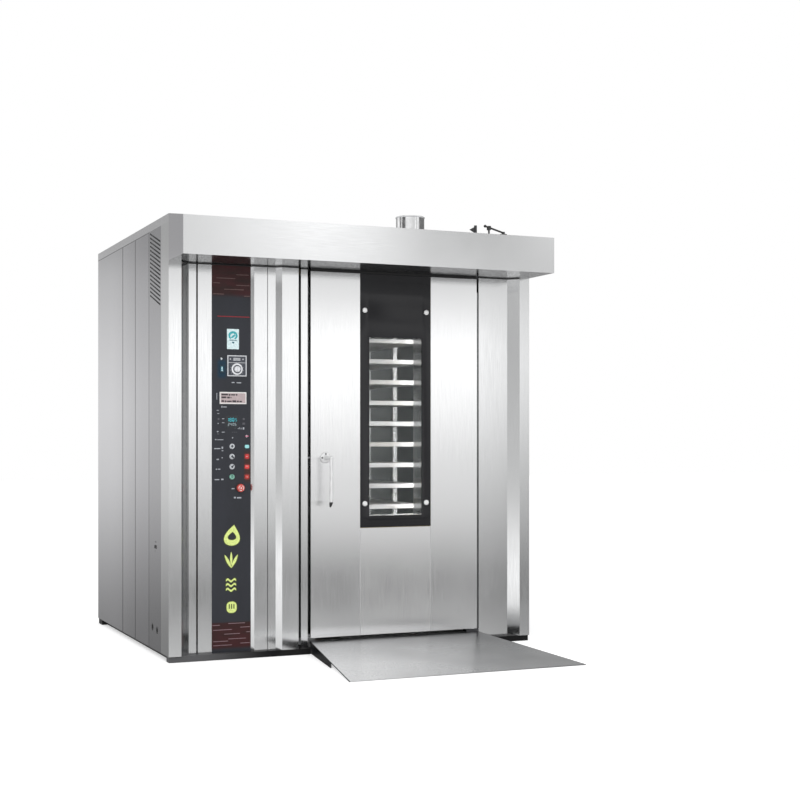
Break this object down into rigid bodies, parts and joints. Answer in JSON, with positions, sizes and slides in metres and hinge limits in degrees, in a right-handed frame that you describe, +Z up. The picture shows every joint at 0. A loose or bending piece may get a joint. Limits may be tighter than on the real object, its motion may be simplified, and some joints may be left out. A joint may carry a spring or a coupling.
{
  "type": "rotating rack oven",
  "caption": "Free-standing stainless steel bakery oven with a windowed door, a front hood and ramp, and a trolley of trays that turns inside.",
  "frame": {"origin": "on the floor under the middle of the footprint, ramp and cabinet together", "axes": "+Z up, front faces -Y, +X to the right of someone who stands in front of the door"},
  "size_m": [2, 2.53, 2.35],
  "materials": {
    "brushed_steel": "brushed stainless steel sheet",
    "polished_steel": "polished stainless steel",
    "bright_steel": "turned steel",
    "galvanised_sheet": "zinc coated sheet",
    "liner_steel": "dull stainless steel",
    "scaled_steel": "heat-tinted steel plate",
    "cast_iron": "oiled iron",
    "tray_aluminium": "plain aluminium sheet",
    "black_paint": "satin black paint",
    "burner_red": "gloss paint",
    "motor_blue": "hammer paint",
    "fascia_film": "dark printed film",
    "indicator_plastic": "clear windows over lit displays",
    "white_plastic": "moulded",
    "cyan_plastic": "moulded, lit",
    "red_plastic": "moulded",
    "green_plastic": "moulded, lit",
    "wheel_plastic": "heat resistant phenolic",
    "black_rubber": "moulded",
    "gasket_rubber": "silicone",
    "mineral_wool": "faced wool slab",
    "black_glass": "black printed glass",
    "clear_glass": "clear tempered glass",
    "lamp_glass": "lamp cover"
  },
  "bodies": {
    "cabinet": {"base_frame": "black_paint", "front_plinth": "black_paint", "floor_pan": "liner_steel", "side_panels": "brushed_steel", "louvre_panel": "brushed_steel", "left_corner_post": "brushed_steel", "control_column": "brushed_steel", "control_fascia": "fascia_film", "mid_column": "brushed_steel", "door_frame": "brushed_steel", "right_column": "brushed_steel", "rear_panels": "galvanised_sheet", "roof_panel": "brushed_steel", "hood": "brushed_steel", "hood_underside": "brushed_steel", "ramp": "brushed_steel", "insulation": "mineral_wool", "chamber_liner": "liner_steel", "air_wall": "liner_steel", "heat_exchanger": "scaled_steel", "burner": "burner_red", "fan_motor": "motor_blue", "steam_generator": "cast_iron", "chamber_lamps": "lamp_glass", "drive_gearmotor": "motor_blue", "shaft_bearings": "cast_iron", "flue": "polished_steel", "roof_fittings": "black_paint", "control_gear": "galvanised_sheet", "panel_indicators": "indicator_plastic", "cable_inlets": "black_rubber", "door_hardware": "bright_steel"},
    "door": {"door_skin": "brushed_steel", "door_inner": "brushed_steel", "door_insulation": "mineral_wool", "outer_glass": "black_glass", "inner_glass": "clear_glass", "glass_bolts": "polished_steel", "door_gasket": "gasket_rubber", "hinge_pins": "bright_steel"},
    "handle": {"door_handle": "polished_steel"},
    "latch": {"latch_bolt": "bright_steel"},
    "rack": {"rack_shaft": "bright_steel", "drive_gear": "cast_iron", "rack_side_frames": "brushed_steel", "rack_plates": "brushed_steel", "rack_trays": "tray_aluminium", "turntable": "liner_steel"},
    "pinion": {"drive_pinion": "cast_iron"},
    "front_axle": {"front_wheels": "wheel_plastic"},
    "rear_axle": {"rear_wheels": "wheel_plastic"},
    "fan": {"fan_impeller": "liner_steel"},
    "lever": {"relief_lever": "black_paint"},
    "knob": {"timer_knob": "white_plastic"},
    "rocker": {"rocker_switch": "cyan_plastic"},
    "stop": {"stop_button": "red_plastic"},
    "button_1": {"push_button_1": "white_plastic"},
    "button_2": {"push_button_2": "white_plastic"},
    "button_3": {"push_button_3": "white_plastic"},
    "button_4": {"push_button_4": "green_plastic"}
  },
  "joints": [
    {"name": "door_hinge", "type": "hinge", "parent": "cabinet", "child": "door", "pos_m": [0.685, -0.345, 1], "axis": [0, 0, 1], "range_deg": [0, 110]},
    {"name": "handle_turn", "type": "hinge", "parent": "door", "child": "handle", "pos_m": [-0.166, -0.365, 1], "axis": [0, -1, 0], "range_deg": [0, 60]},
    {"name": "latch_slide", "type": "slide", "parent": "door", "child": "latch", "axis": [1, 0, 0], "range_m": [0, 0.01]},
    {"name": "rack_turn", "type": "hinge", "parent": "cabinet", "child": "rack", "pos_m": [0.23, 0.43715, 1], "axis": [0, 0, 1], "continuous": true},
    {"name": "pinion_turn", "type": "hinge", "parent": "cabinet", "child": "pinion", "pos_m": [0.005, 0.43715, 2.095], "axis": [0, 0, 1], "continuous": true},
    {"name": "front_wheels_roll", "type": "hinge", "parent": "rack", "child": "front_axle", "pos_m": [0.23, 0.08715, 0.1103], "axis": [1, 0, 0], "continuous": true},
    {"name": "rear_wheels_roll", "type": "hinge", "parent": "rack", "child": "rear_axle", "pos_m": [0.23, 0.78715, 0.1103], "axis": [1, 0, 0], "continuous": true},
    {"name": "fan_turn", "type": "hinge", "parent": "cabinet", "child": "fan", "pos_m": [-0.666, 0.577, 1.95], "axis": [0, 0, 1], "continuous": true},
    {"name": "lever_lift", "type": "hinge", "parent": "cabinet", "child": "lever", "pos_m": [0.805, -0.315, 2.25], "axis": [0, -1, 0], "range_deg": [0, 15]},
    {"name": "knob_turn", "type": "hinge", "parent": "cabinet", "child": "knob", "pos_m": [-0.639, -0.365, 1.447], "axis": [0, 1, 0], "range_deg": [0, 300]},
    {"name": "rocker_tilt", "type": "hinge", "parent": "cabinet", "child": "rocker", "pos_m": [-0.716, -0.36, 1.447], "axis": [1, 0, 0], "range_deg": [-8, 8]},
    {"name": "stop_press", "type": "slide", "parent": "cabinet", "child": "stop", "axis": [0, 1, 0], "range_m": [0, 0.005], "stiffness_N_per_m": 400},
    {"name": "button_1_press", "type": "slide", "parent": "cabinet", "child": "button_1", "axis": [0, 1, 0], "range_m": [0, 0.004], "stiffness_N_per_m": 400},
    {"name": "button_2_press", "type": "slide", "parent": "cabinet", "child": "button_2", "axis": [0, 1, 0], "range_m": [0, 0.004], "stiffness_N_per_m": 400},
    {"name": "button_3_press", "type": "slide", "parent": "cabinet", "child": "button_3", "axis": [0, 1, 0], "range_m": [0, 0.004], "stiffness_N_per_m": 400},
    {"name": "button_4_press", "type": "slide", "parent": "cabinet", "child": "button_4", "axis": [0, 1, 0], "range_m": [0, 0.004], "stiffness_N_per_m": 400}
  ],
  "couplings": [
    {"joint": "latch_slide", "follows": "handle_turn", "m_per_rad": 0.0095},
    {"joint": "pinion_turn", "follows": "rack_turn", "ratio": -4}
  ]
}
